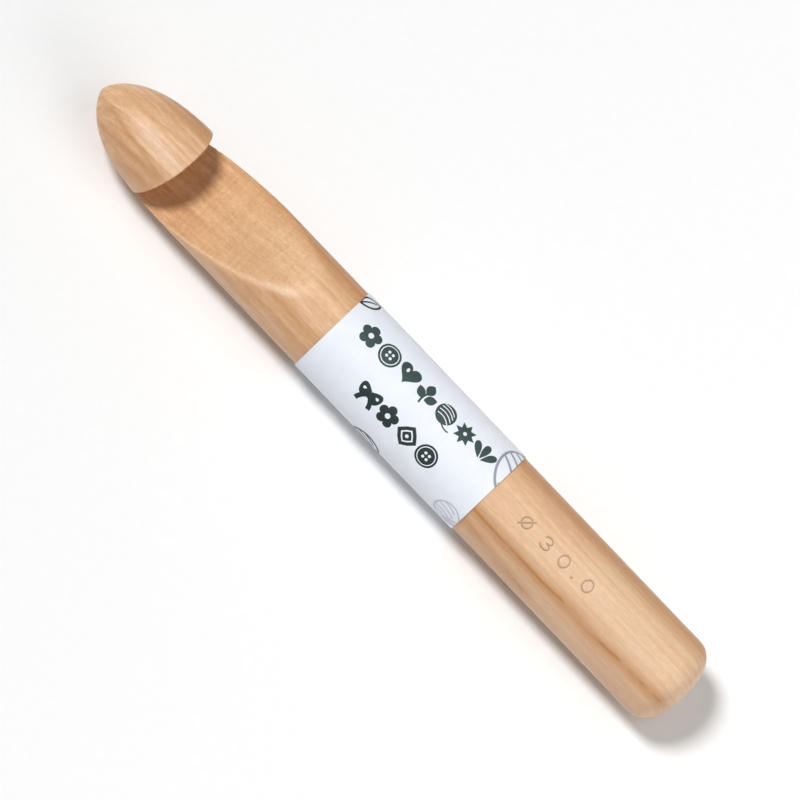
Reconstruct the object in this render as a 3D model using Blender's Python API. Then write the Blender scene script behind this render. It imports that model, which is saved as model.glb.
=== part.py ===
"""A large wooden crochet hook with the paper label band it is sold in.

The hook is one turned and carved piece of wood: a pointed round nose, a throat cut into its upper side
behind an undercut lip, a plain round shaft and a rounded handle end. A strip of paper is wrapped once
round the middle of the shaft. Its ends overlap on the far side, where a strip of tape holds them.

Frame: the hook lies along X with its head at -X and its throat opening upwards (+Z). The origin is
under the middle of the hook, on the surface that the band rests on. All sizes are in metres.
"""

import math

import bmesh
import bpy

# The hook
LENGTH = 0.250
RADIUS = 0.015
NOSE_LENGTH = 0.050  # from the tip to where the hook has its full radius
NOSE_LONG_POWER = 3.9  # how long the nose stays near its full radius
NOSE_ROUND_POWER = 1.5  # 2 is a round tip, and less is a more pointed one
END_ROUNDING = 0.0085
END_FLAT_RADIUS = 0.0025
END_POWER = 2.1

# The throat: distances are from the tip, and heights are above the hook's axis
LIP_TIP = 0.0349
LIP_UNDERCUT = math.radians(18.6)
ROOT_HEIGHT = -0.0056
RAMP_EASE = (0.0390, -0.0050)  # where the root's nearly level floor and the straight ramp would meet
RAMP_END = 0.0847
RAMP_STEPS = 14
CUTTER_MARGIN = 0.005  # how far the cutter stands out of the wood

# The label band and its seam
BAND_START = 0.0988
BAND_LENGTH = 0.0674
PAPER = 0.00025
BAND_CLEARANCE = 0.00015
TAPE = 0.0001
TAPE_GAP = 0.00005
TAPE_LENGTH = 0.060
SEAM_ANGLE = math.radians(-40)  # measured from +Y towards +Z, looking along the hook from its handle
LAP_FACETS = 4
TAPE_FACETS = 2
STEP_UP_FACETS = 1

FACETS = 28  # round the hook and the band, whose facets lie over each other
NOSE_RINGS = 22
END_RINGS = 9

FACET = 2 * math.pi / FACETS
FLAT_BELOW = -math.pi / 2 + FACET / 2  # turns the facets so that one of them lies flat at the bottom
BAND_RADIUS = RADIUS + BAND_CLEARANCE
AXIS_HEIGHT = (BAND_RADIUS + PAPER) * math.cos(FACET / 2)


def material(name, colour, roughness):
    made = bpy.data.materials.new(name)
    made.use_nodes = True
    shader = made.node_tree.nodes["Principled BSDF"]
    shader.inputs["Base Color"].default_value = (*colour, 1)
    shader.inputs["Roughness"].default_value = roughness
    shader.inputs["Metallic"].default_value = 0
    return made


def place(name, mesh, finish, smooth_below=math.radians(35)):
    """Puts the mesh in the scene as a named object, with its own origin on the hook's axis at the tip."""
    made = bpy.data.objects.new(name, mesh)
    made.location = (-LENGTH / 2, 0, AXIS_HEIGHT)
    mesh.materials.append(finish)
    mesh.shade_smooth()
    mesh.set_sharp_from_angle(angle=smooth_below)
    bpy.context.scene.collection.objects.link(made)
    return made


def on_circle(x, radius, angle):
    return (x, radius * math.cos(angle), radius * math.sin(angle))


def superellipse(share, power, other_power):
    """The height, from 0 to 1, of a rounded outline at a share of the way from its end to its full width."""
    return (1 - (1 - share) ** power) ** (1 / other_power)


def turned_outline():
    """(distance from the tip, radius) along the hook's outline, without the two points on its axis."""
    outline = []
    for ring in range(1, NOSE_RINGS + 1):
        share = (ring / NOSE_RINGS) ** 2
        radius = RADIUS * superellipse(share, NOSE_LONG_POWER, NOSE_ROUND_POWER)
        outline.append((NOSE_LENGTH * share, radius))
    round_part = RADIUS - END_FLAT_RADIUS
    for ring in range(END_RINGS, -1, -1):
        share = (ring / END_RINGS) ** 2
        radius = END_FLAT_RADIUS + round_part * superellipse(share, END_POWER, END_POWER)
        outline.append((LENGTH - END_ROUNDING * share, radius))
    return outline


def turned_mesh(name, outline, tip, end):
    """A solid turned about X from its outline, closed at a point on the axis at each end."""
    bm = bmesh.new()
    rings = []
    for x, radius in outline:
        angles = [FLAT_BELOW + i * FACET for i in range(FACETS)]
        rings.append([bm.verts.new(on_circle(x, radius, angle)) for angle in angles])
    for ring, following in zip(rings, rings[1:]):
        for i in range(FACETS):
            j = (i + 1) % FACETS
            bm.faces.new((ring[i], following[i], following[j], ring[j]))
    first, last = bm.verts.new((tip, 0, 0)), bm.verts.new((end, 0, 0))
    for i in range(FACETS):
        j = (i + 1) % FACETS
        bm.faces.new((first, rings[0][i], rings[0][j]))
        bm.faces.new((last, rings[-1][j], rings[-1][i]))
    return finished(bm, name)


def finished(bm, name):
    bmesh.ops.recalc_face_normals(bm, faces=bm.faces)
    mesh = bpy.data.meshes.new(name)
    bm.to_mesh(mesh)
    bm.free()
    return mesh


def ramp_point(share):
    """A point of the throat's floor, from the root (0) to the ramp's end at the surface (1), as (x, z)."""
    root_x = LIP_TIP - (RADIUS - ROOT_HEIGHT) * math.tan(LIP_UNDERCUT)
    bend = ((1 - share) ** 2, 2 * share * (1 - share), share**2)
    x = bend[0] * root_x + bend[1] * RAMP_EASE[0] + bend[2] * RAMP_END
    z = bend[0] * ROOT_HEIGHT + bend[1] * RAMP_EASE[1] + bend[2] * RADIUS
    return x, z


def throat_outline():
    """The cutter's outline in the XZ plane: up the lip, across above the wood and down the ramp."""
    top = RADIUS + CUTTER_MARGIN
    ramp = [ramp_point(step / RAMP_STEPS) for step in range(RAMP_STEPS + 1)]
    slope = (RADIUS - RAMP_EASE[1]) / (RAMP_END - RAMP_EASE[0])
    lip_above = (LIP_TIP + CUTTER_MARGIN * math.tan(LIP_UNDERCUT), top)
    ramp_above = (RAMP_END + CUTTER_MARGIN / slope, top)
    return [lip_above, ramp_above, *reversed(ramp)]


def throat_cutter():
    """The outline pushed across the whole width of the hook."""
    bm = bmesh.new()
    side = -(RADIUS + CUTTER_MARGIN)
    face = bm.faces.new([bm.verts.new((x, side, z)) for x, z in throat_outline()])
    pushed = bmesh.ops.extrude_face_region(bm, geom=[face])
    moved = [item for item in pushed["geom"] if isinstance(item, bmesh.types.BMVert)]
    bmesh.ops.translate(bm, verts=moved, vec=(0, -2 * side, 0))
    cutter = bpy.data.objects.new("throat_cutter", finished(bm, "throat_cutter"))
    cutter.location = (-LENGTH / 2, 0, AXIS_HEIGHT)
    cutter.hide_render = True
    cutter.display_type = "WIRE"
    bpy.context.scene.collection.objects.link(cutter)
    return cutter


def make_hook(finish):
    hook = place("hook_body", turned_mesh("hook_body", turned_outline(), 0, LENGTH), finish)
    cut = hook.modifiers.new("throat", "BOOLEAN")
    cut.operation = "DIFFERENCE"
    cut.solver = "EXACT"
    cut.object = throat_cutter()
    return hook


def strip_mesh(name, start, length, path, thickness):
    """A curved strip lying along the hook: path is (angle, inner radius) from its one edge to its other."""
    bm = bmesh.new()
    rails = []
    for angle, radius in path:
        corners = ((start, radius), (start + length, radius))
        corners += ((start + length, radius + thickness), (start, radius + thickness))
        rails.append([bm.verts.new(on_circle(x, r, angle)) for x, r in corners])
    for rail, following in zip(rails, rails[1:]):
        for i in range(4):
            j = (i + 1) % 4
            bm.faces.new((rail[i], following[i], following[j], rail[j]))
    bm.faces.new(rails[0])
    bm.faces.new(list(reversed(rails[-1])))
    return finished(bm, name)


def seam_facet():
    """The number of the facet edge, counted round from the bottom, at which the band's inner end starts."""
    return round((SEAM_ANGLE - FLAT_BELOW) / FACET) - LAP_FACETS // 2


def band_path():
    """Once round the shaft and then on over its own start, a paper, two gaps and a tape further out."""
    lifted = BAND_RADIUS + PAPER + TAPE + 2 * TAPE_GAP
    first = seam_facet()
    path = []
    for step in range(FACETS + LAP_FACETS + 1):
        over = step > FACETS - STEP_UP_FACETS
        path.append((FLAT_BELOW + (first + step) * FACET, lifted if over else BAND_RADIUS))
    return path


def tape_path():
    first = seam_facet() + (LAP_FACETS - TAPE_FACETS) // 2
    radius = BAND_RADIUS + PAPER + TAPE_GAP
    return [(FLAT_BELOW + (first + step) * FACET, radius) for step in range(TAPE_FACETS + 1)]


def make_band(finish):
    return place("label_band", strip_mesh("label_band", BAND_START, BAND_LENGTH, band_path(), PAPER), finish)


def make_tape(finish):
    start = BAND_START + (BAND_LENGTH - TAPE_LENGTH) / 2
    return place("seam_tape", strip_mesh("seam_tape", start, TAPE_LENGTH, tape_path(), TAPE), finish)


def clear_scene():
    for item in list(bpy.data.objects):
        bpy.data.objects.remove(item, do_unlink=True)


clear_scene()
make_hook(material("wood", (0.72, 0.46, 0.27), 0.45))
make_band(material("label_paper", (0.90, 0.91, 0.93), 0.60))
make_tape(material("tape", (0.80, 0.78, 0.70), 0.50))
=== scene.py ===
"""The looks of a large wooden crochet hook and of the paper label band it is sold in.

The CAD model is the frame. Here the hook becomes one smooth carved surface with a burnt-in size mark, and the
band and its tape become thin sheets that are cut flat, printed and wrapped round the shaft.

Shapes are worked out in millimetres in the hook's own coordinates: x from the tip towards the handle, and y
and z from the hook's axis. Angles round the hook go from +Y towards +Z.
"""

import math

import bmesh
import bpy
import numpy as np
from mathutils import Matrix, Vector
from mathutils.geometry import delaunay_2d_cdt


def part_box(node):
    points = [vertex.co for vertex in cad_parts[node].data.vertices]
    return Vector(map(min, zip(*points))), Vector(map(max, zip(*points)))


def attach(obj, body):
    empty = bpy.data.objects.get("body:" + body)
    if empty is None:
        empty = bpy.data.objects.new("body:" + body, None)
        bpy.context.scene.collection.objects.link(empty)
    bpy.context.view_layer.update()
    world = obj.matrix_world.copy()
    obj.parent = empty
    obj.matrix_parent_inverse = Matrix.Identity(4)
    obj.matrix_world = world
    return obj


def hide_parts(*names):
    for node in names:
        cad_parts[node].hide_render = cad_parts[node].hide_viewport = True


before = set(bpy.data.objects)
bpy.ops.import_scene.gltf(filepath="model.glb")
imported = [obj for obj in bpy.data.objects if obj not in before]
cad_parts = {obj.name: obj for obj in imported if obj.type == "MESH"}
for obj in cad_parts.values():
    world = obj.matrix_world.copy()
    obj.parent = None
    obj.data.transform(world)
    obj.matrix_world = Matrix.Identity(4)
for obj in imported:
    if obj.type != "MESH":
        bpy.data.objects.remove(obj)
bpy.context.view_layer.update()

MM = 0.001
hook_low, hook_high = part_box("hook_body")
TIP = Vector((hook_low.x, 0, (hook_low.z + hook_high.z) / 2))

# The hook, as in the CAD
LENGTH = 250.0
RADIUS = 15.0
NOSE_LENGTH = 50.0
NOSE_LONG_POWER = 3.9
NOSE_ROUND_POWER = 1.5
END_ROUNDING = 8.5
END_FLAT_RADIUS = 2.5
END_POWER = 2.1

# The throat, as in the CAD: distances from the tip and heights above the axis
LIP_TIP = 34.9
LIP_UNDERCUT = math.radians(18.6)
ROOT_HEIGHT = -5.6
RAMP_ROOT = (LIP_TIP - (RADIUS - ROOT_HEIGHT) * math.tan(LIP_UNDERCUT), ROOT_HEIGHT)
RAMP_EASE = (39.0, -5.0)
RAMP_END = (84.7, RADIUS)

# How widely the carved corners are rounded, and how far the mesh is made finer round them
ROOT_FILLET = 1.6
LIP_EDGE = 0.3
RAMP_EDGE = 1.7
EDGE_REACH = 1.3
VOXEL = 0.6  # the size of the faces that the hook's mesh starts from

# The label band and its tape, as in the CAD
BAND_START = 98.8
BAND_LENGTH = 67.4
BAND_RADIUS = 15.15
PAPER = 0.25
TAPE = 0.1
TAPE_GAP = 0.05
TAPE_LENGTH = 60.0
FACET = 360 / 28
INNER_END = -90 + FACET / 2 + FACET  # degrees, where the band starts under its own lap
BAND_TURN = 360 + 4 * FACET
STEP_UP = (360 - FACET, 360.0)  # degrees of winding over which the band climbs onto its own start
LAP_LIFT = 0.10  # how far the band's free end stands off
RIPPLE = 0.03
TAPE_TURN = (FACET, 3 * FACET)  # degrees of winding that the tape covers

# The front of the hook, with the size mark and the label's main prints, is 20 degrees round it from the
# throat's middle. These directions are the hook's own, and the camera is placed to face the front.
FRONT_TILT = math.radians(20)
FRONT = Vector((0, -math.sin(FRONT_TILT), math.cos(FRONT_TILT)))
SIDE = Vector((0, math.cos(FRONT_TILT), math.sin(FRONT_TILT)))
ALONG = Vector((1, 0, 0))
FRONT_ANGLE = 90 + math.degrees(FRONT_TILT)

# The camera and lights: how far the hook turns away from level in the picture, and distances in metres
HOOK_SLANT = math.radians(46.3)
CAMERA_DISTANCE = 5.0
FRAME_WIDTH = 0.2378
FRAME_CENTRE = LENGTH / 2 + 3.04  # millimetres from the tip
LIGHT_DISTANCE = 1.6

# The size mark on the handle
MARK_START = 178.3
MARK_LENGTH = 30.6
MARK_HEIGHT = 4.0
MARK_MIDDLE = 8.0  # degrees round the hook from its front
MARK_DEPTH = 0.18
MARK_WIDTH = 0.50
MARK_REACH = 0.9  # how far the mesh is made finer round its strokes

# The label's flat strip: lengths of paper along its winding
PER_DEGREE = math.radians(1) * (BAND_RADIUS + PAPER)
BAND_WIDTH = BAND_TURN * PER_DEGREE
FRONT_ON_STRIP = (FRONT_ANGLE - INNER_END) * PER_DEGREE

PAPER_COLOUR = (0.85, 0.885, 0.95)
INKS = {
    "green": (0.040, 0.072, 0.068),
    "deep_green": (0.013, 0.029, 0.029),
    "violet": (0.33, 0.335, 0.42),
    "lavender": (0.55, 0.57, 0.67),
    "slate": (0.075, 0.09, 0.11),
}

# Dark streaks in the wood: where each starts and ends along the hook, how far to the side of the front's
# middle it is there, the half widths of its core and of its broad part, and how dark it is
STREAKS = (
    (7, 26, -2.3, -5.3, 0.6, 1.8, 0.55),
    (9, 29, -8.2, -6.9, 0.5, 1.5, 0.50),
    (13, 30, 4.6, 6.0, 0.4, 1.0, 0.40),
    (40, 72, 1.2, 0.0, 0.8, 5.0, 0.50),
    (45, 74, -7.0, -3.0, 0.7, 1.8, 0.40),
    (70, 100, -5.0, -6.5, 0.8, 3.2, 0.45),
    (150, 245, -6.4, -6.4, 1.2, 3.4, 1.00),
    (150, 192, -8.6, -12.4, 0.8, 2.6, 0.55),
)
STREAK_DRIFT = 2.0  # how far they wander to each side

# The floor, in metres
FLOOR_HALF = 12.0
FLOOR_HEIGHT = -0.0002  # just clear of the hook


# ---------------------------------------------------------------- camera and lights


def look_at(obj, place, right, up):
    """Puts a camera or a light there, with those directions to its right and upwards in its view."""
    back = right.cross(up)
    turn = Matrix((right, up, back)).transposed().to_4x4()
    obj.matrix_world = Matrix.Translation(place) @ turn


def make_camera():
    """Far off with a long lens, so that the view is nearly parallel."""
    data = bpy.data.cameras.new("camera")
    data.sensor_width = 36
    data.lens = data.sensor_width * CAMERA_DISTANCE / FRAME_WIDTH
    data.clip_end = 20
    camera = bpy.data.objects.new("camera", data)
    bpy.context.scene.collection.objects.link(camera)
    right = math.cos(HOOK_SLANT) * ALONG + math.sin(HOOK_SLANT) * SIDE
    up = math.cos(HOOK_SLANT) * SIDE - math.sin(HOOK_SLANT) * ALONG
    centre = TIP + Vector((FRAME_CENTRE * MM, 0, 0))
    look_at(camera, centre + FRONT * CAMERA_DISTANCE, right, up)
    bpy.context.scene.camera = camera


def aim(light_data, towards):
    """A light that shines on the middle of the hook, and that the camera doesn't see."""
    light = bpy.data.objects.new(light_data.name, light_data)
    light.visible_camera = False
    bpy.context.scene.collection.objects.link(light)
    right = towards.cross(Vector((0, 1, 0.1))).normalized()
    middle = TIP + Vector((LENGTH / 2 * MM, 0, 0))
    look_at(light, middle + towards * LIGHT_DISTANCE, right, towards.cross(right))
    return light


def make_soft_light(name, towards, size, power, colour=(1, 1, 1)):
    """A round soft light that many metres across, and its power in watts."""
    data = bpy.data.lights.new(name, "AREA")
    data.shape = "DISK"
    data.size = size
    data.energy = power
    data.color = colour
    return aim(data, towards)


def make_key_light(towards, width, strength):
    """The main light, whose rays are parallel. It is that many degrees wide, which softens its shadows."""
    data = bpy.data.lights.new("key", "SUN")
    data.angle = math.radians(width)
    data.energy = strength
    aim(data, towards)


def direction(round_hook, towards_head):
    """A direction that many degrees round the hook from its front, and that many towards the head."""
    round_hook, towards_head = math.radians(round_hook), math.radians(towards_head)
    across = math.cos(round_hook) * FRONT + math.sin(round_hook) * SIDE
    return math.cos(towards_head) * across - math.sin(towards_head) * ALONG


def make_world():
    """A soft light from all around. To the camera it looks as pale as the lit floor."""
    world = bpy.data.worlds.new("studio")
    world.use_nodes = True
    background = world.node_tree.nodes["Background"]
    background.inputs["Color"].default_value = (0.97, 0.985, 1.0, 1)
    path = world.node_tree.nodes.new("ShaderNodeLightPath")
    brightness = world.node_tree.nodes.new("ShaderNodeMapRange")
    to_the_hook, to_the_camera = 0.155, 0.95
    brightness.inputs["To Min"].default_value = to_the_hook
    brightness.inputs["To Max"].default_value = to_the_camera
    world.node_tree.links.new(path.outputs["Is Camera Ray"], brightness.inputs["Value"])
    world.node_tree.links.new(brightness.outputs["Result"], background.inputs["Strength"])
    bpy.context.scene.world = world


def make_lights():
    """A key towards the head, two fills towards the handle, and a small light for the front's highlight."""
    make_key_light(direction(14, 30), 14, 2.38)
    make_soft_light("fill", direction(28, -22), 1.3, 5.0, (1.0, 0.985, 0.96))
    make_soft_light("end_fill", direction(0, -62), 1.1, 7.6)
    sheen = make_soft_light("sheen", direction(-2, 13), 0.30, 12.5, (0.82, 0.93, 1.0))
    sheen.visible_diffuse = False  # it shows only as a reflection, and doesn't brighten the wood round it
    make_world()
    bpy.context.scene.view_settings.view_transform = "Standard"


# ---------------------------------------------------------------- building node materials


class Finish:
    """A material whose nodes are added one by one. Methods that add a node give back its output."""

    def __init__(self, name):
        self.material = bpy.data.materials.new(name)
        self.material.use_nodes = True
        self.tree = self.material.node_tree
        self.shader = self.tree.nodes["Principled BSDF"]

    def add(self, kind, inputs, output=0, **settings):
        made = self.tree.nodes.new(kind)
        for key, value in settings.items():
            setattr(made, key, value)
        for key, value in inputs.items():
            self.put(made.inputs[key], value)
        return made.outputs[output]

    def put(self, socket, value):
        if isinstance(value, bpy.types.NodeSocket):
            self.tree.links.new(value, socket)
        else:
            socket.default_value = value

    def set(self, **values):
        for key, value in values.items():
            self.put(self.shader.inputs[key.replace("_", " ")], value)

    def place(self):
        """Where a point is, in millimetres in the piece's own coordinates."""
        own = self.add("ShaderNodeTexCoord", {}, output="Object")
        return self.scaled(own, (1000, 1000, 1000))

    def scaled(self, vector, scale):
        return self.add("ShaderNodeVectorMath", {0: vector, 1: scale}, operation="MULTIPLY")

    def moved(self, vector, by):
        return self.add("ShaderNodeVectorMath", {0: vector, 1: by}, operation="ADD")

    def parts(self, vector):
        split = self.add("ShaderNodeSeparateXYZ", {0: vector}).node
        return split.outputs[0], split.outputs[1], split.outputs[2]

    def joined(self, x, y, z):
        return self.add("ShaderNodeCombineXYZ", {0: x, 1: y, 2: z})

    def math(self, operation, *values):
        return self.add("ShaderNodeMath", dict(enumerate(values)), operation=operation)

    def dot(self, vector, other):
        return self.add(
            "ShaderNodeVectorMath", {0: vector, 1: other}, output="Value", operation="DOT_PRODUCT"
        )

    def noise(self, vector, cell, detail=2.0, roughness=0.5):
        """Noise from 0 to 1. Cell is its size in millimetres along x, y and z."""
        shrunk = self.scaled(vector, [1 / size for size in cell])
        inputs = {"Vector": shrunk, "Scale": 1.0, "Detail": detail, "Roughness": roughness}
        return self.add("ShaderNodeTexNoise", inputs, output=0)

    def attribute(self, name):
        return self.add("ShaderNodeAttribute", {}, output="Fac", attribute_name=name)

    def between(self, value, low, high, to_low=0.0, to_high=1.0):
        """A smooth step: to_low below low and to_high above high."""
        inputs = {"Value": value, 1: low, 2: high, 3: to_low, 4: to_high}
        return self.add("ShaderNodeMapRange", inputs, interpolation_type="SMOOTHSTEP")

    def ramp(self, value, low, high, to_low, to_high):
        """A straight ramp from to_low at low to to_high at high, that stays level beyond both."""
        inputs = {"Value": value, 1: low, 2: high, 3: to_low, 4: to_high}
        return self.add("ShaderNodeMapRange", inputs, interpolation_type="LINEAR")

    def patches(self, vector, cell, low, high, detail=2.0, roughness=0.5):
        """Noise drawn apart into soft patches: 0 where it is below low, and 1 where it is above high."""
        return self.between(self.noise(vector, cell, detail, roughness), low, high)

    def mix(self, share, first, second, blend="MIX"):
        """A mix of two colours. Its sockets go by number, because their names come up more than once."""
        node = self.add("ShaderNodeMix", {}, output=2, data_type="RGBA", blend_type=blend).node
        for socket, value in ((0, share), (6, first), (7, second)):
            if isinstance(value, tuple):
                value = (*value, 1)
            self.put(node.inputs[socket], value)
        return node.outputs[2]

    def stained(self, colour, where, strength, stain):
        """The colour with that strength of a stain over it, where a mask is 1."""
        return self.mix(self.math("MULTIPLY", where, strength), colour, stain)

    def bump(self, height, distance, normal=None):
        """Relief that many millimetres deep, on top of any given normal."""
        inputs = {"Height": height, "Distance": distance * MM}
        if normal is not None:
            inputs["Normal"] = normal
        return self.add("ShaderNodeBump", inputs)


# ---------------------------------------------------------------- the hook's surface


def outside(*terms):
    """About how far points are outside a rounded outline. A term is (share of the way out, power, size)."""
    level = sum(share**power for share, power, size in terms) - 1
    steepness = sum((power / size * share ** (power - 1)) ** 2 for share, power, size in terms)
    return level / np.sqrt(steepness + 1e-12)


def outside_turned(x, across):
    """About how far a point is outside the turned hook, before its throat is cut."""
    to_nose = np.clip(1 - x / NOSE_LENGTH, 0, None)
    nose = outside(
        (across / RADIUS, NOSE_ROUND_POWER, RADIUS), (to_nose, NOSE_LONG_POWER, NOSE_LENGTH)
    )
    to_end = np.clip((x - LENGTH) / END_ROUNDING + 1, 0, None)
    round_part = RADIUS - END_FLAT_RADIUS
    to_side = np.clip((across - END_FLAT_RADIUS) / round_part, 0, None)
    end = outside((to_side, END_POWER, round_part), (to_end, END_POWER, END_ROUNDING))
    return np.where(x < LENGTH / 2, nose, end)


def ramp_line(x):
    """(height, slope) of the throat's floor at a distance from the tip."""
    start, middle, end = (np.array(point) for point in (RAMP_ROOT, RAMP_EASE, RAMP_END))
    bend, rise = start - 2 * middle + end, 2 * (middle - start)
    inside = np.clip(rise[0] ** 2 + 4 * bend[0] * (x - start[0]), 1, None)
    share = (np.sqrt(inside) - rise[0]) / (2 * bend[0])
    height = start[1] + rise[1] * share + bend[1] * share**2
    slope = (rise[1] + 2 * bend[1] * share) / (rise[0] + 2 * bend[0] * share)
    return height, slope


def smooth_least(first, second, width):
    """The lesser of two numbers, with the corner between them rounded over that width."""
    meeting = np.clip(1 - np.abs(first - second) / width, 0, None)
    return np.minimum(first, second) - meeting**2 * width / 4


def smooth_step(value, low, high):
    """0 below low and 1 above high, with a smooth rise between."""
    share = np.clip((value - low) / (high - low), 0, 1)
    return share * share * (3 - 2 * share)


def outside_cut(x, z):
    """How far a point is into the space that the throat's cutter took."""
    lip = (x - LIP_TIP + (RADIUS - z) * math.tan(LIP_UNDERCUT)) * math.cos(LIP_UNDERCUT)
    height, slope = ramp_line(x)
    floor = (z - height) / np.sqrt(1 + slope**2)
    return smooth_least(lip, floor, ROOT_FILLET)


def outside_hook(points):
    """How far each point is outside the finished wood. It is negative inside."""
    x, y, z = points.T
    turned = outside_turned(x, np.hypot(y, z))
    cut = outside_cut(x, z)
    sanded = LIP_EDGE + (RAMP_EDGE - LIP_EDGE) * smooth_step(x, 38, 60)
    return -smooth_least(-turned, -cut, sanded)


def slopes(points, step=0.01):
    """The gradient of outside_hook at each point."""
    columns = []
    for axis in np.eye(3) * step:
        columns.append((outside_hook(points + axis) - outside_hook(points - axis)) / (2 * step))
    return np.stack(columns, axis=1)


def onto_hook(points, rounds=6):
    """The points moved onto the hook's surface, in short steps that stay sound near its sharp places."""
    flattest, longest_step = 0.05, 0.4
    for _ in range(rounds):
        gradient = slopes(points)
        size = np.maximum((gradient**2).sum(axis=1), flattest)
        step = np.clip(outside_hook(points) / size, -longest_step, longest_step)
        points = points - gradient * step[:, None]
    return points


# ---------------------------------------------------------------- the size mark


def arc(centre, size, start, end, count=24):
    """Points on an ellipse, from one angle to another in degrees."""
    angles = np.radians(np.linspace(start, end, count))
    return np.stack(
        [centre[0] + size[0] * np.cos(angles), centre[1] + size[1] * np.sin(angles)], axis=1
    )


def mark_strokes():
    """The diameter sign and the size in figures, as lines on the unrolled shaft: (distance, height)."""
    half = MARK_HEIGHT / 2
    shares = (0.07, 0.35, 0.59, 0.75, 0.92)
    sign, three, nought, point, tenth = (share * MARK_LENGTH for share in shares)
    strokes = [
        arc((sign, 0), (1.75, 1.75), 0, 360),
        np.array([(sign - 1.9, -half), (sign + 1.9, half)]),
        arc((three - 0.1, half / 2), (1.5, half / 2), 160, -90),
        arc((three - 0.1, -half / 2), (1.7, half / 2), 90, -155),
        arc((nought, 0), (1.7, half), 0, 360),
        arc((point, -half + 0.2), (0.12, 0.12), 0, 360, 8),
        arc((tenth, 0), (1.7, half), 0, 360),
    ]
    return [stroke + (MARK_START, 0) for stroke in strokes]


def unrolled(points):
    """(distance from the tip, height round the shaft) of points near the size mark."""
    angle = np.degrees(np.arctan2(points[:, 2], points[:, 1]))
    round_hook = (FRONT_ANGLE - MARK_MIDDLE - angle + 180) % 360 - 180
    return np.stack([points[:, 0], np.radians(round_hook) * RADIUS], axis=1)


def from_strokes(flat):
    """How far each flat point is from the nearest stroke of the size mark."""
    nearest = np.full(len(flat), 1e3)
    for stroke in mark_strokes():
        for start, end in zip(stroke, stroke[1:]):
            run = end - start
            share = np.clip((flat - start) @ run / (run @ run), 0, 1)
            gap = np.linalg.norm(flat - start - share[:, None] * run, axis=1)
            nearest = np.minimum(nearest, gap)
    return nearest


# ---------------------------------------------------------------- the wooden hook


def get_points(mesh):
    flat = np.empty(len(mesh.vertices) * 3)
    mesh.vertices.foreach_get("co", flat)
    return flat.reshape(-1, 3)


def set_points(mesh, points):
    mesh.vertices.foreach_set("co", np.ascontiguousarray(points, np.float32).ravel())
    mesh.update()


def add_piece(name, mesh, body, node):
    """A mesh in millimetres from the tip becomes a piece that stands for a CAD node."""
    mesh.transform(Matrix.Scale(MM, 4))
    piece = bpy.data.objects.new(name, mesh)
    piece.location = TIP
    bpy.context.scene.collection.objects.link(piece)
    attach(piece, body)
    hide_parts(node)
    return piece


def even_mesh():
    """The CAD hook, in millimetres from the tip, made of small even faces."""
    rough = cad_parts["hook_body"].data.copy()
    bm = bmesh.new()
    bm.from_mesh(rough)
    bmesh.ops.remove_doubles(bm, verts=bm.verts, dist=1e-7)
    bm.to_mesh(rough)
    bm.free()
    rough.transform(Matrix.Scale(1 / MM, 4) @ Matrix.Translation(-TIP))
    holder = bpy.data.objects.new("holder", rough)
    bpy.context.scene.collection.objects.link(holder)
    remesh = holder.modifiers.new("even", "REMESH")
    remesh.mode = "VOXEL"
    remesh.voxel_size = VOXEL
    bpy.context.view_layer.update()
    evaluated = holder.evaluated_get(bpy.context.evaluated_depsgraph_get())
    mesh = bpy.data.meshes.new_from_object(evaluated)
    bpy.data.objects.remove(holder)
    return mesh


def relax(mesh, rounds):
    """Evens out the faces. Each point goes halfway to its neighbours' middle, then back onto the wood."""
    edges = np.empty(len(mesh.edges) * 2, np.int32)
    mesh.edges.foreach_get("vertices", edges)
    first, second = edges.reshape(-1, 2).T
    points = get_points(mesh)
    count = np.bincount(edges, minlength=len(points))[:, None]
    for _ in range(rounds):
        total = np.zeros_like(points)
        np.add.at(total, first, points[second])
        np.add.at(total, second, points[first])
        points = onto_hook((points + total / count) / 2, rounds=3)
    set_points(mesh, points)


def refine(mesh, wanted, cuts):
    """Splits the faces for which wanted(middles) is true."""
    bm = bmesh.new()
    bm.from_mesh(mesh)
    bm.faces.ensure_lookup_table()
    middles = np.array([face.calc_center_median() for face in bm.faces])
    chosen = [bm.faces[i] for i in np.flatnonzero(wanted(middles))]
    edges = list(dict.fromkeys(edge for face in chosen for edge in face.edges))
    bmesh.ops.subdivide_edges(bm, edges=edges, cuts=cuts, use_grid_fill=True)
    bmesh.ops.triangulate(bm, faces=[face for face in bm.faces if len(face.verts) > 4])
    bm.to_mesh(mesh)
    bm.free()


def near_carved_edge(points):
    """Which points are near where the throat's cut meets the turned surface."""
    x, y, z = points.T
    turned = np.abs(outside_turned(x, np.hypot(y, z)))
    cut = np.abs(outside_cut(x, z))
    return np.maximum(turned, cut) < EDGE_REACH


def near_mark(points):
    """Which points are near a stroke of the size mark."""
    return from_strokes(unrolled(points)) < MARK_REACH


def store(mesh, name, values):
    """Gives each point of the mesh a number that its material can read."""
    attribute = mesh.attributes.new(name, "FLOAT", "POINT")
    attribute.data.foreach_set("value", np.ascontiguousarray(values, np.float32))


def fine_mesh():
    """The hook's mesh, finer along the carved edges and round the size mark."""
    mesh = even_mesh()
    set_points(mesh, onto_hook(get_points(mesh)))
    relax(mesh, 3)
    refine(mesh, near_carved_edge, 1)
    relax(mesh, 2)
    refine(mesh, near_mark, 4)
    return mesh


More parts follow.
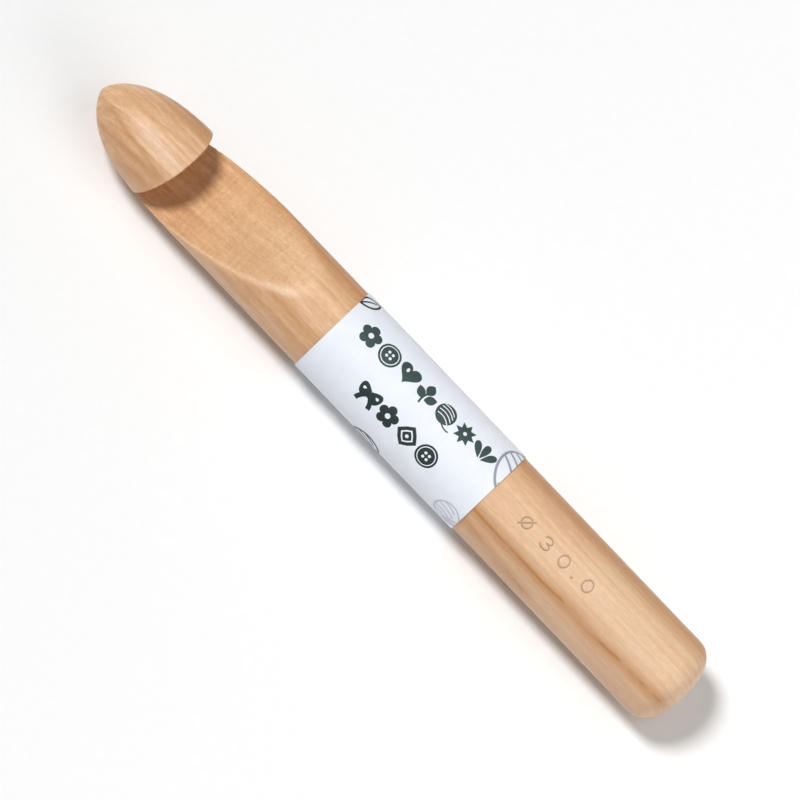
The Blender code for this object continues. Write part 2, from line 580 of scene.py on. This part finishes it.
def make_hook():
    """The wooden hook. Its points carry how burnt, how much carved and how near a carved edge they are."""
    mesh = fine_mesh()
    points = onto_hook(get_points(mesh))
    gap = from_strokes(unrolled(points))
    groove = np.exp(-((gap / (MARK_WIDTH / 2)) ** 2))
    normals = slopes(points)
    normals /= np.linalg.norm(normals, axis=1)[:, None]
    x, y, z = points.T
    turned = outside_turned(x, np.hypot(y, z))
    cut = outside_cut(x, z)
    store(mesh, "burn", groove)
    store(mesh, "carved", smooth_step(cut - turned, -0.6, 0.6))
    store(mesh, "edge", 1 - smooth_step(np.maximum(np.abs(turned), np.abs(cut)), 0.1, 1.8))
    set_points(mesh, points - normals * (groove * MARK_DEPTH)[:, None])
    mesh.shade_smooth()
    mesh.materials.clear()
    mesh.materials.append(wood())
    return add_piece("hook_wood", mesh, "hook", "hook_body")


def growth_rings(finish, place):
    """Pale early wood and tan late wood, round a pith that lies beside the hook and a little aslant to it."""
    light, tan = (0.88, 0.59, 0.36), (0.74, 0.435, 0.235)
    ring_width, waviness = 2.7, 7.0
    slow = finish.noise(place, (110, 9, 20))
    x, y, z = finish.parts(place)
    ring_y = finish.math("ADD", y, finish.math("MULTIPLY", x, 0.022))
    ring_z = finish.math("ADD", z, finish.math("MULTIPLY", x, -0.016))
    off_pith = finish.joined(0.0, finish.math("ADD", ring_y, 62), finish.math("ADD", ring_z, 9))
    from_pith = finish.add("ShaderNodeVectorMath", {0: off_pith}, output="Value", operation="LENGTH")
    wavy = finish.math("ADD", from_pith, finish.math("MULTIPLY", slow, waviness))
    ring = finish.math("FRACT", finish.math("DIVIDE", wavy, ring_width))
    rises, falls = finish.between(ring, 0.25, 0.9), finish.between(ring, 0.92, 1.0, 1, 0)
    weight = finish.between(slow, 0.3, 0.7, 0.15, 0.62)
    late = finish.math("MULTIPLY", finish.math("MULTIPLY", rises, falls), weight)
    return finish.mix(late, light, tan)


def broken_grain(finish, place, colour):
    """Long streaks, broad soft bands, blotches and flecks, all drawn out along the hook."""
    streak = finish.patches(place, (80, 1.7, 9), 0.40, 0.66, 3.0, 0.62)
    colour = finish.stained(colour, streak, 0.75, (0.68, 0.385, 0.205))
    broad = finish.patches(finish.moved(place, (40, 7, 0)), (60, 5, 14), 0.45, 0.7)
    colour = finish.stained(colour, broad, 0.6, (0.72, 0.40, 0.20))
    blotch = finish.patches(place, (16, 3.5, 3.5), 0.38, 0.64, 3.0)
    colour = finish.mix(blotch, colour, (0.955, 0.905, 0.84), "MULTIPLY")
    fleck = finish.patches(place, (2.6, 0.75, 0.75), 0.38, 0.62, 2.0, 0.6)
    return finish.mix(fleck, colour, (0.92, 0.885, 0.85), "MULTIPLY")


def streak_share(finish, x, aside, drift, strength, streak):
    """How dark a streak is at each point: a thin broken core inside a broad faint one."""
    first, last, start, end, core, halo, depth = streak
    fade, halo_share = 8, 0.6
    middle = finish.math("ADD", finish.ramp(x, first, last, start, end), drift)
    gap = finish.math("ABSOLUTE", finish.math("SUBTRACT", aside, middle))
    thin = finish.math("MULTIPLY", finish.between(gap, 0.1, core, 1, 0), strength)
    wide = finish.math("MULTIPLY", finish.between(gap, 0.2, halo, 1, 0), halo_share)
    fades_in, fades_out = finish.between(x, first - fade, first), finish.between(x, last, last + fade, 1, 0)
    ends = finish.math("MULTIPLY", fades_in, fades_out)
    share = finish.math("MULTIPLY", finish.math("MAXIMUM", thin, wide), ends)
    return finish.math("MULTIPLY", share, depth)


def mineral_streaks(finish, place, colour):
    """The dark streaks, which wander a little from their lines and break up along them."""
    x, _, _ = finish.parts(place)
    aside = finish.dot(place, tuple(SIDE))
    wander = finish.math("SUBTRACT", finish.noise(place, (28, 60, 60), 3.0), 0.5)
    drift = finish.math("MULTIPLY", wander, 2 * STREAK_DRIFT)
    strength = finish.patches(place, (15, 40, 40), 0.32, 0.56)
    for streak in STREAKS:
        share = streak_share(finish, x, aside, drift, strength, streak)
        colour = finish.stained(colour, share, 0.95, (0.50, 0.225, 0.075))
    return colour


def wood_tone_and_painted_side_shade(finish, place, colour):
    """A warm band along one side of the front, which fades behind it: an orange wood tone with painted shade
    along that edge. Along the other side, painted shade makes the wood greyer and darker.
    """
    aside = finish.dot(place, tuple(SIDE))
    in_front = finish.between(finish.dot(place, tuple(FRONT)), -8, 0)
    band = finish.between(aside, 9.5, 14.6)
    # Painted shade: the warm band darkens the wood along the front's edge as well as turning it orange.
    warm = finish.math("MULTIPLY", band, finish.math("MAXIMUM", in_front, 0.25))
    colour = finish.mix(warm, colour, (0.76, 0.56, 0.34), "MULTIPLY")
    # Painted shade: the other side of the hook is made greyer and darker.
    painted_side_shade = finish.between(aside, -16, 3, 1, 0)
    return finish.mix(painted_side_shade, colour, (0.90, 0.85, 0.83), "MULTIPLY")


def tool_marks(finish, place, carved):
    """Three kinds of mark in the throat, averaged: chatter across it, torn fibres and lines along it."""
    chatter = finish.patches(finish.moved(place, (0, 0, 3)), (1.0, 9, 9), 0.38, 0.62, 1.0)
    torn = finish.patches(place, (1.3, 0.7, 0.7), 0.36, 0.64)
    lines = finish.patches(place, (26, 0.6, 0.6), 0.35, 0.65)
    marks = finish.math("ADD", finish.math("ADD", chatter, torn), lines)
    return finish.math("MULTIPLY", carved, finish.math("DIVIDE", marks, 3.0))


def carved_wood(finish, place, colour, carved, tool):
    """Freshly cut wood in the throat: paler on its ramp, and marked by the tool. Towards its root it is
    darker and warmer, partly a wood tone and partly painted shade where the lip's shadow falls.
    """
    x, _, _ = finish.parts(place)
    pale = finish.math("MULTIPLY", carved, finish.between(x, 43, 54, 0, 0.35))
    colour = finish.mix(pale, colour, (0.88, 0.59, 0.34))
    # Partly painted shade: darker and warmer towards the root, where the lip's shadow falls.
    deep = finish.math("MULTIPLY", carved, finish.between(x, 48, 84, 1, 0.1))
    colour = finish.mix(deep, colour, (0.99, 0.94, 0.85), "MULTIPLY")
    return finish.mix(tool, colour, (0.85, 0.79, 0.71), "MULTIPLY")


def wood():
    """Pale straight-grained birch, sanded and lightly oiled, with a burnt-in size mark."""
    finish = Finish("birch")
    place = finish.place()
    x, _, _ = finish.parts(place)
    carved, edge, burn = (finish.attribute(name) for name in ("carved", "edge", "burn"))
    colour = broken_grain(finish, place, growth_rings(finish, place))
    fibre = finish.patches(place, (9, 0.32, 0.32), 0.3, 0.7, 3.0, 0.65)
    colour = finish.stained(colour, fibre, 0.22, (0.58, 0.33, 0.17))
    speck = finish.patches(place, (2.2, 0.16, 0.16), 0.62, 0.72, 1.0)
    colour = finish.stained(colour, speck, 0.26, (0.42, 0.22, 0.11))
    # Paler, pinker wood towards the handle end: partly a lighter wood tone, partly a painted sheen along the
    # handle.
    pale_end_and_painted_sheen = finish.between(x, 100, 235)
    colour = finish.stained(colour, pale_end_and_painted_sheen, 0.35, (0.78, 0.585, 0.42))
    colour = wood_tone_and_painted_side_shade(finish, place, mineral_streaks(finish, place, colour))
    tool = tool_marks(finish, place, carved)
    colour = carved_wood(finish, place, colour, carved, tool)
    # Paler along the carved edges: partly worn wood, partly a painted highlight along their rounded edges.
    colour = finish.stained(colour, edge, 0.15, (0.87, 0.60, 0.38))
    colour = finish.stained(colour, burn, 0.68, (0.25, 0.13, 0.065))

    rough = finish.math("ADD", finish.math("MULTIPLY", fibre, 0.08), 0.37)
    rough = finish.math("ADD", rough, finish.math("MULTIPLY", carved, 0.08))
    normal = finish.bump(finish.math("SUBTRACT", 1.0, fibre), 0.012)
    normal = finish.bump(finish.math("SUBTRACT", 1.0, speck), 0.02, normal)
    normal = finish.bump(tool, 0.03, normal)
    finish.set(Base_Color=colour, Roughness=rough, Normal=normal, Specular_IOR_Level=0.5)
    return finish.material


# ---------------------------------------------------------------- the printed paper band


def ellipse(centre, size, count=36):
    """A closed ring of points. Size is its half widths."""
    return arc(centre, size, 0, 360, count + 1)[:-1]


def rotated(ring, centre, degrees):
    """A ring of flat points turned about a point."""
    angle = math.radians(degrees)
    turn = np.array([(math.cos(angle), math.sin(angle)), (-math.sin(angle), math.cos(angle))])
    return (ring - centre) @ turn + centre


def rosette(centre, radius, petals, depth, count=80):
    """A closed outline with that many round lobes, whose notches go in by depth as a share of its radius."""
    angles = np.linspace(0, 2 * math.pi, count, endpoint=False)
    reach = radius * (1 - depth + depth * np.abs(np.cos(petals * angles / 2)) ** 0.7)
    return np.stack([centre[0] + reach * np.sin(angles), centre[1] + reach * np.cos(angles)], axis=1)


def star(centre, radius, inner, points):
    """A closed outline with that many points, and that inner radius between them."""
    angles = np.linspace(0, 2 * math.pi, 2 * points, endpoint=False)
    reach = np.where(np.arange(2 * points) % 2, inner, radius)
    return np.stack([centre[0] + reach * np.sin(angles), centre[1] + reach * np.cos(angles)], axis=1)


def heart(centre, size, count=44):
    """The classic heart curve, scaled to that half width."""
    angles = np.linspace(0, 2 * math.pi, count, endpoint=False)
    across = 16 * np.sin(angles) ** 3
    up = 13 * np.cos(angles) - 5 * np.cos(2 * angles) - 2 * np.cos(3 * angles) - np.cos(4 * angles)
    return np.stack([centre[0] + size * across / 16, centre[1] + size * (up + 2.5) / 16], axis=1)


def leaf(centre, length, width, degrees, count=14):
    """A pointed leaf: two arcs that meet at its ends."""
    along = np.linspace(-1, 1, count)
    bulge = width / 2 * (1 - along**2)
    sides = [np.stack([along * length / 2, bulge], axis=1)]
    sides.append(np.stack([along[-2:0:-1] * length / 2, -bulge[-2:0:-1]], axis=1))
    return rotated(np.concatenate(sides) + centre, centre, degrees)


def drop(centre, length, width, degrees, count=30):
    """A drop with a round end and a pointed one."""
    angles = np.linspace(0, 2 * math.pi, count, endpoint=False)
    across = width / 2 * np.sin(angles) * np.sin(angles / 2) ** 1.2
    ring = np.stack([centre[0] + length / 2 * np.cos(angles), centre[1] + across], axis=1)
    return rotated(ring, centre, degrees)


def line(points, width):
    """A drawn line of even width through the points, as a closed outline."""
    points = np.asarray(points, float)
    run = np.gradient(points, axis=0)
    run /= np.linalg.norm(run, axis=1)[:, None]
    side = np.stack([-run[:, 1], run[:, 0]], axis=1) * width / 2
    return np.concatenate([points + side, (points - side)[::-1]])


def bowed(start, end, bow, width, count=9):
    """A drawn line from start to end that bows out to its left."""
    start, end = np.asarray(start, float), np.asarray(end, float)
    share = np.linspace(0, 1, count)[:, None]
    out = np.array([start[1] - end[1], end[0] - start[0]])
    return line(start + share * (end - start) + 4 * bow * share * (1 - share) * out, width)


def ring_line(centre, radius, width, count=48):
    """Both outlines of a circle drawn with a line of that width."""
    return [ellipse(centre, (radius + half, radius + half), count) for half in (width / 2, -width / 2)]


def drawn_ball(ink, centre, radius, width, degrees, stripes=5):
    """A line drawing of a ball of yarn: its outline, a sheaf of strands, and some that cross them."""
    centre = np.asarray(centre, float)
    drawn = [(ink, ring_line(centre, radius, width))]
    for stripe in range(stripes):
        level = radius * (0.72 - 1.25 * stripe / (stripes - 1))
        reach = math.sqrt(radius**2 - level**2)
        ends = np.array([(-reach, level), (reach * 0.55, level - radius * 0.16)])
        strand = bowed(*(ends + centre), 0.10, width * 0.9)
        drawn.append((ink, [rotated(strand, centre, degrees)]))
    for stripe in range(3):
        start = (radius * (0.02 + 0.2 * stripe), -radius * 0.93 + 0.02 * stripe)
        end = (radius * 0.93, radius * (0.15 - 0.26 * stripe))
        strand = bowed(centre + start, centre + end, 0.12, width * 0.9)
        drawn.append((ink, [rotated(strand, centre, degrees)]))
    return drawn


def drawn_leaf(ink, centre, length, breadth, width, degrees):
    """A line drawing of a leaf with its midrib."""
    centre = np.asarray(centre, float)
    tips = rotated(np.array([(-length / 2, 0), (length * 0.32, 0)]) + centre, centre, degrees)
    outline = [leaf(centre, length + 1.6 * width, breadth + width, degrees)]
    outline.append(leaf(centre, length - 1.6 * width, breadth - width, degrees))
    return [(ink, outline), (ink, [bowed(*tips, 0.03, width * 0.8)])]


def flower_mark(ink, centre, size, petals=5):
    """A flower with an open middle."""
    rings = [rosette(centre, size, petals, 0.34), ellipse(centre, (size * 0.24, size * 0.24), 24)]
    return [(ink, rings)]


def button_mark(ink, centre, size, holes=4):
    """A round button with a rim."""
    rings = [ellipse(centre, (share * size, share * size), 44) for share in (1, 0.82, 0.74)]
    for hole in range(holes):
        angle = math.radians(45 + 360 / holes * hole)
        place = (centre[0] + 0.28 * size * math.cos(angle), centre[1] + 0.28 * size * math.sin(angle))
        rings.append(ellipse(place, (size * 0.13, size * 0.13), 16))
    return [(ink, rings)]


def heart_mark(ink, centre, size):
    """A heart with a bare gleam in it."""
    gleam = (centre[0] - 0.3 * size, centre[1] + 0.28 * size)
    return [(ink, [heart(centre, size)]), (None, [ellipse(gleam, (size * 0.13, size * 0.2), 18)])]


def sprig_mark(ink, centre, size):
    """A stem with a leaf on each side and one on top."""
    x, y = centre
    stem = bowed((x - 0.1 * size, y - size), (x, y + 0.1 * size), 0.08, size * 0.18)
    leaves = [leaf((x, y + 0.48 * size), 1.15 * size, size * 0.85, 90)]
    for side in (-1, 1):
        middle = (x + side * 0.52 * size, y - 0.2 * size)
        leaves.append(leaf(middle, 1.15 * size, size * 0.75, 90 - side * 50))
    return [(ink, [stem])] + [(ink, [shape]) for shape in leaves]


def ball_mark(ink, centre, size):
    """A solid ball of yarn with pale strands and a loose end."""
    x, y = centre
    marks = [(ink, [ellipse(centre, (size * 0.92, size * 0.92), 44)])]
    for level in (-0.45, -0.12, 0.21, 0.52):
        reach = size * 0.72 * math.sqrt(1 - level**2)
        ends = ((x - reach, y + (level + 0.12) * size), (x + reach, y + (level - 0.18) * size))
        marks.append((None, [bowed(*ends, 0.13, size * 0.085)]))
    tail = ((x + 0.25 * size, y - 0.84 * size), (x + 1.12 * size, y - 0.98 * size))
    marks.append((ink, [bowed(*tail, -0.12, size * 0.12)]))
    return marks


def star_mark(ink, centre, size):
    """A star with eight points and an open middle."""
    middle = ellipse(centre, (size * 0.16, size * 0.16), 20)
    return [(ink, [star(centre, size, size * 0.58, 8), middle])]


def fan_mark(ink, centre, size):
    """Three crochet stitches that fan out from one point."""
    x, y = centre
    marks = []
    for lean in (-38, 0, 38):
        angle = math.radians(90 - lean)
        middle = (x + 0.95 * size * math.cos(angle), y - 0.85 * size + 0.98 * size * math.sin(angle))
        marks.append((ink, [drop(middle, 1.5 * size, 0.85 * size, 270 - lean)]))
    return marks


def square_mark(ink, centre, size):
    """A granny square on its corner: nested squares round a hole."""
    rings = [star(centre, share * size, share * size * 0.78, 4) for share in (1.05, 0.66, 0.5)]
    return [(ink, [*rings, ellipse(centre, (size * 0.16, size * 0.16), 18)])]


def bow_mark(ink, centre, size):
    """A bow of ribbon: two loops, two ends and the knot."""
    x, y = centre
    marks = [(ink, [ellipse((x, y + 0.1 * size), (size * 0.25, size * 0.3), 20)])]
    for side, degrees in ((-1, 0), (1, 180)):
        lean = degrees - side * 16
        loop = drop((x + side * 0.54 * size, y + 0.30 * size), size * 1.15, size * 1.6, lean)
        hole = drop((x + side * 0.68 * size, y + 0.33 * size), size * 0.34, size * 0.34, lean)
        marks.append((ink, [loop, hole]))
        tail = ((x + side * 0.08 * size, y + 0.1 * size), (x + side * 0.7 * size, y - 0.95 * size))
        marks.append((ink, [bowed(*tail, side * 0.1, size * 0.42)]))
    return marks


def on_strip(degrees):
    """The height on the printed strip of a place that many degrees round the hook from its front."""
    return degrees * PER_DEGREE


def row_of_marks(makers, ink, first, pitch, degrees, size):
    """Marks side by side along the label, the first one's middle that far from its start."""
    marks = []
    for place, maker in enumerate(makers):
        marks += maker(ink, (first + pitch * place, on_strip(degrees)), size)
    return marks


def front_prints():
    """What shows on the label's front: two rows of marks, and drawings that its edges cut off."""
    upper = (flower_mark, button_mark, heart_mark, sprig_mark, ball_mark, star_mark, fan_mark)
    lower = (bow_mark, flower_mark, square_mark, button_mark)
    marks = row_of_marks(upper, "green", first=9.6, pitch=8.05, degrees=27.0, size=3.75)
    marks += row_of_marks(lower, "deep_green", first=21.9, pitch=8.25, degrees=-22.8, size=3.7)
    marks += drawn_leaf("deep_green", (2.6, on_strip(63)), 9.2, 4.4, 0.75, 56)
    marks += drawn_ball("violet", (BAND_LENGTH + 5.5, on_strip(44)), 10.6, 0.85, -37, stripes=6)
    marks += drawn_ball("lavender", (63.0, on_strip(-60)), 4.7, 0.6, -6, stripes=4)
    marks += drawn_ball("slate", (30.8, on_strip(-86)), 5.2, 0.9, -20, stripes=4)
    return marks


def back_prints():
    """Balls and leaves scattered over the label's back, as (distance along it, degrees from its front)."""
    balls = ((12, 116), (47, 108), (30, 148), (8, -128), (50, -122))
    leaves = ((29, 106), (60, 146), (9, 160), (29, -138), (58, -158))
    marks = []
    for place, (along, degrees) in enumerate(balls):
        ink = ("violet", "slate")[place % 2]
        marks += drawn_ball(ink, (along, on_strip(degrees)), 5.5, 0.4, 40 * place)
    for place, (along, degrees) in enumerate(leaves):
        marks += drawn_leaf("deep_green", (along, on_strip(degrees)), 9.0, 3.2, 0.38, 50 * place)
    return marks


def inside(points, ring):
    """Which flat points lie inside a closed ring."""
    odd = np.zeros(len(points), bool)
    for start, end in zip(ring, np.roll(ring, -1, axis=0)):
        if start[1] == end[1]:
            continue
        crosses = (start[1] > points[:, 1]) != (end[1] > points[:, 1])
        at = start[0] + (points[:, 1] - start[1]) / (end[1] - start[1]) * (end[0] - start[0])
        odd ^= crosses & (points[:, 0] < at)
    return odd


def cut_sheet(outline, prints, spacing):
    """A flat sheet as triangles whose edges follow its outline and its prints: (points, triangles)."""
    points, edges = [], []
    print_rings = (ring for _, rings in prints for ring in rings)
    for ring in [outline, *print_rings]:
        first, count = len(points), len(ring)
        points.extend(Vector(point) for point in ring)
        edges.extend((first + i, first + (i + 1) % count) for i in range(count))
    low, high = outline.min(axis=0), outline.max(axis=0)
    counts = np.round((high - low) / spacing).astype(int) + 1
    steps = [np.linspace(*ends) for ends in zip(low, high, counts)]
    grid = np.stack(np.meshgrid(*steps), axis=-1).reshape(-1, 2)
    points.extend(Vector(point) for point in grid)
    inner_triangles, merge_within = 0, 1e-5
    made = delaunay_2d_cdt(points, edges, [], inner_triangles, merge_within)
    flat = np.array([tuple(point) for point in made[0]])
    triangles = np.array(made[2])
    return flat, triangles[inside(flat[triangles].mean(axis=1), outline)]


def ink_of(middles, prints, inks):
    """The number of the ink on each triangle. A print with no ink leaves the paper bare."""
    ink = np.zeros(len(middles), int)
    for name, rings in prints:
        odd = np.zeros(len(middles), bool)
        for ring in rings:
            odd ^= inside(middles, ring)
        ink[odd] = inks.index(name) if name else 0
    return ink


def wound(flat, radius, thickness):
    """Points of the strip wound round the hook's axis. Flat is (distance from the tip, winding)."""
    turn = flat[:, 1] / PER_DEGREE
    angle = np.radians(INNER_END + turn)
    reach = radius(flat[:, 0], turn) + thickness
    return np.stack([flat[:, 0], reach * np.cos(angle), reach * np.sin(angle)], axis=1)


def sheet_mesh(name, flat, triangles, ink, radius, thickness):
    """A closed thin sheet, printed on its outer side only."""
    used, triangles = np.unique(triangles, return_inverse=True)
    flat, triangles = flat[used], triangles.reshape(-1, 3)
    count = len(flat)
    points = np.concatenate([wound(flat, radius, thickness), wound(flat, radius, 0)])
    sides = np.concatenate([triangles[:, [0, 1]], triangles[:, [1, 2]], triangles[:, [2, 0]]])
    _, first, times = np.unique(np.sort(sides), axis=0, return_index=True, return_counts=True)
    rim = sides[first[times == 1]]  # a side that only one triangle has is on the rim
    faces = triangles.tolist() + (triangles[:, ::-1] + count).tolist()
    faces += [(b, a, a + count, b + count) for a, b in rim.tolist()]
    mesh = bpy.data.meshes.new(name)
    mesh.from_pydata(points.tolist(), [], faces)
    mesh.polygons.foreach_set("material_index", [*ink.tolist(), *[0] * (len(faces) - len(ink))])
    bm = bmesh.new()
    bm.from_mesh(mesh)
    bmesh.ops.recalc_face_normals(bm, faces=bm.faces)
    bm.to_mesh(mesh)
    bm.free()
    mesh.shade_smooth()
    mesh.set_sharp_from_angle(angle=math.radians(40))
    return mesh


def ripple(along, turn):
    """How far hand-wound paper strays from its true circle, in and out."""
    long_wave = np.sin(np.radians(3 * turn) + along * 0.05) / 2
    short_wave = np.sin(np.radians(5 * turn) - along * 0.11) / 2
    return RIPPLE * (long_wave + short_wave)


def band_radius(along, turn):
    """The inner radius of the wound label, which climbs onto its own start and lifts a little at its end."""
    climb = (PAPER + TAPE + 2 * TAPE_GAP) * smooth_step(turn, *STEP_UP)
    lift = LAP_LIFT * smooth_step(turn, BAND_TURN - 10, BAND_TURN)
    return BAND_RADIUS + climb + lift + ripple(along, turn)


def tape_radius(along, turn):
    """The inner radius of the tape, which lies on the band's start and ripples with it."""
    return BAND_RADIUS + PAPER + TAPE_GAP + ripple(along, turn)


def make_band():
    """The label, printed while flat and then wound round the hook."""
    finishes = {"paper": paper("label_paper", PAPER_COLOUR)}
    for name, colour in INKS.items():
        finishes[name] = paper("ink_" + name, colour)
    corners = np.array([(0, 0), (BAND_LENGTH, 0), (BAND_LENGTH, BAND_WIDTH), (0, BAND_WIDTH)])
    outline = corners + (BAND_START, 0)
    to_strip = np.array([(1, 0), (0, -1)])
    prints = []
    for name, rings in front_prints() + back_prints():
        prints.append((name, [ring @ to_strip + (BAND_START, FRONT_ON_STRIP) for ring in rings]))
    flat, triangles = cut_sheet(outline, prints, (2.0, 1.0))
    ink = ink_of(flat[triangles].mean(axis=1), prints, list(finishes))
    mesh = sheet_mesh("label_sheet", flat, triangles, ink, band_radius, PAPER)
    for finish in finishes.values():
        mesh.materials.append(finish)
    return add_piece("label_sheet", mesh, "label", "label_band")


def paper(name, colour):
    """Smooth label stock. The faint cloudiness and tooth of its fibres show through any ink on it."""
    finish = Finish(name)
    place = finish.place()
    darker, darkest = (tuple(share * channel for channel in colour) for share in (0.93, 0.8))
    cloud = finish.patches(place, (4, 4, 4), 0.3, 0.7, 3.0)
    fibre = finish.noise(finish.scaled(place, (1, 1.6, 1.6)), (0.25, 0.25, 0.25), 3.0, 0.7)
    toned = finish.stained(colour, cloud, 0.5, darker)
    toned = finish.stained(toned, fibre, 0.12, darkest)
    rough = finish.math("ADD", finish.math("MULTIPLY", fibre, 0.15), 0.5)
    finish.set(Base_Color=toned, Roughness=rough, Normal=finish.bump(fibre, 0.008), Specular_IOR_Level=0.4)
    return finish.material


# ---------------------------------------------------------------- the tape in the seam


def make_tape():
    """A strip of double-sided tape between the band's lapped ends, torn off against a toothed edge."""
    start = BAND_START + (BAND_LENGTH - TAPE_LENGTH) / 2
    teeth, depth = 8, 0.45
    first, last = (turn * PER_DEGREE for turn in TAPE_TURN)
    steps = np.linspace(first, last, 2 * teeth + 1)
    notch = np.where(np.arange(2 * teeth + 1) % 2, depth, 0.0)
    torn_start = np.stack([start + notch, steps], axis=1)
    torn_end = np.stack([start + TAPE_LENGTH - notch, steps], axis=1)
    outline = np.concatenate([torn_start, torn_end[::-1]])
    flat, triangles = cut_sheet(outline, [], (2.0, 0.9))
    mesh = sheet_mesh("seam_strip", flat, triangles, np.zeros(len(triangles), int), tape_radius, TAPE)
    mesh.materials.append(tape_film())
    return add_piece("seam_strip", mesh, "label", "seam_tape")


def tape_film():
    """Milky film with a streaky layer of glue on it."""
    finish = Finish("tape_film")
    place = finish.place()
    streak = finish.noise(place, (12, 0.8, 0.8), 3.0, 0.6)
    bubble = finish.patches(place, (0.9, 0.9, 0.9), 0.6, 0.72, 1.0)
    colour = finish.mix(streak, (0.80, 0.77, 0.68), (0.72, 0.68, 0.56))
    colour = finish.stained(colour, bubble, 0.5, (0.88, 0.87, 0.82))
    finish.set(Base_Color=colour, Roughness=finish.between(streak, 0.2, 0.8, 0.35, 0.6))
    finish.set(Normal=finish.bump(bubble, 0.02), Subsurface_Weight=0.1)
    return finish.material


# ---------------------------------------------------------------- floor


def make_floor():
    """A plain pale studio floor."""
    mesh = bpy.data.meshes.new("floor")
    ways = ((-1, -1), (1, -1), (1, 1), (-1, 1))
    corners = [(x * FLOOR_HALF, y * FLOOR_HALF, FLOOR_HEIGHT) for x, y in ways]
    mesh.from_pydata(corners, [], [(0, 1, 2, 3)])
    finish = Finish("studio_paper")
    grain = finish.noise(finish.place(), (3, 3, 3), 3.0)
    pale, paler = (0.89, 0.89, 0.89), (0.92, 0.92, 0.92)
    finish.set(Base_Color=finish.mix(grain, pale, paler), Roughness=0.9)
    mesh.materials.append(finish.material)
    floor = bpy.data.objects.new("floor", mesh)
    bpy.context.scene.collection.objects.link(floor)


make_camera()
make_lights()
make_floor()
make_hook()
make_band()
make_tape()
